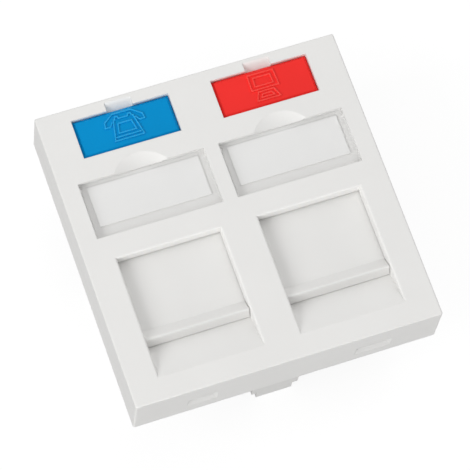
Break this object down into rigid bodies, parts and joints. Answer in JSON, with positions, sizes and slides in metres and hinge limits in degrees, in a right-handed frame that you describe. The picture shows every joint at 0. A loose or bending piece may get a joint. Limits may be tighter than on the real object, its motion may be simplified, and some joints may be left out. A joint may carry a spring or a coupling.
{
  "type": "keystone outlet module",
  "caption": "Square snap-in outlet module for keystone jacks, with sprung sliding shutters, clear label windows and coloured icon inserts.",
  "frame": {"origin": "under the middle of the plate, level with the rear ends of the jack cages and frame clips", "axes": "+Z out of the front face, +Y towards the icon inserts, +X towards the red insert"},
  "size_m": [0.045, 0.045, 0.0196],
  "materials": {
    "white_plastic": "fine satin moulded",
    "carrier_plastic": "fine satin moulded",
    "shutter_plastic": "fine satin moulded",
    "spring_steel": "bright drawn wire",
    "clear_plastic": "clear polished",
    "label_card": "uncoated card",
    "insert_blue": "satin moulded",
    "insert_red": "satin moulded"
  },
  "bodies": {
    "housing": {"front_cover": "white_plastic", "rear_carrier": "carrier_plastic", "return_spring_left": "spring_steel", "return_spring_right": "spring_steel", "label_strip_left": "label_card", "label_strip_right": "label_card"},
    "shutter_left": {"shutter_left": "shutter_plastic"},
    "shutter_right": {"shutter_right": "shutter_plastic"},
    "label_window_left": {"label_window_left": "clear_plastic"},
    "label_window_right": {"label_window_right": "clear_plastic"},
    "icon_insert_left": {"icon_insert_left": "insert_blue"},
    "icon_insert_right": {"icon_insert_right": "insert_red"}
  },
  "joints": [
    {"name": "shutter_left_slide", "type": "slide", "parent": "housing", "child": "shutter_left", "axis": [0, 1, 0], "range_m": [0, 0.0108], "stiffness_N_per_m": 40, "springref_m": -0.006, "deforming": ["return_spring_left"]},
    {"name": "shutter_right_slide", "type": "slide", "parent": "housing", "child": "shutter_right", "axis": [0, 1, 0], "range_m": [0, 0.0108], "stiffness_N_per_m": 40, "springref_m": -0.006, "deforming": ["return_spring_right"]},
    {"name": "label_window_left_lift", "type": "slide", "parent": "housing", "child": "label_window_left", "axis": [0, 0, 1], "range_m": [0, 0.006]},
    {"name": "label_window_right_lift", "type": "slide", "parent": "housing", "child": "label_window_right", "axis": [0, 0, 1], "range_m": [0, 0.006]},
    {"name": "icon_insert_left_lift", "type": "slide", "parent": "housing", "child": "icon_insert_left", "axis": [0, 0, 1], "range_m": [0, 0.008]},
    {"name": "icon_insert_right_lift", "type": "slide", "parent": "housing", "child": "icon_insert_right", "axis": [0, 0, 1], "range_m": [0, 0.008]}
  ]
}
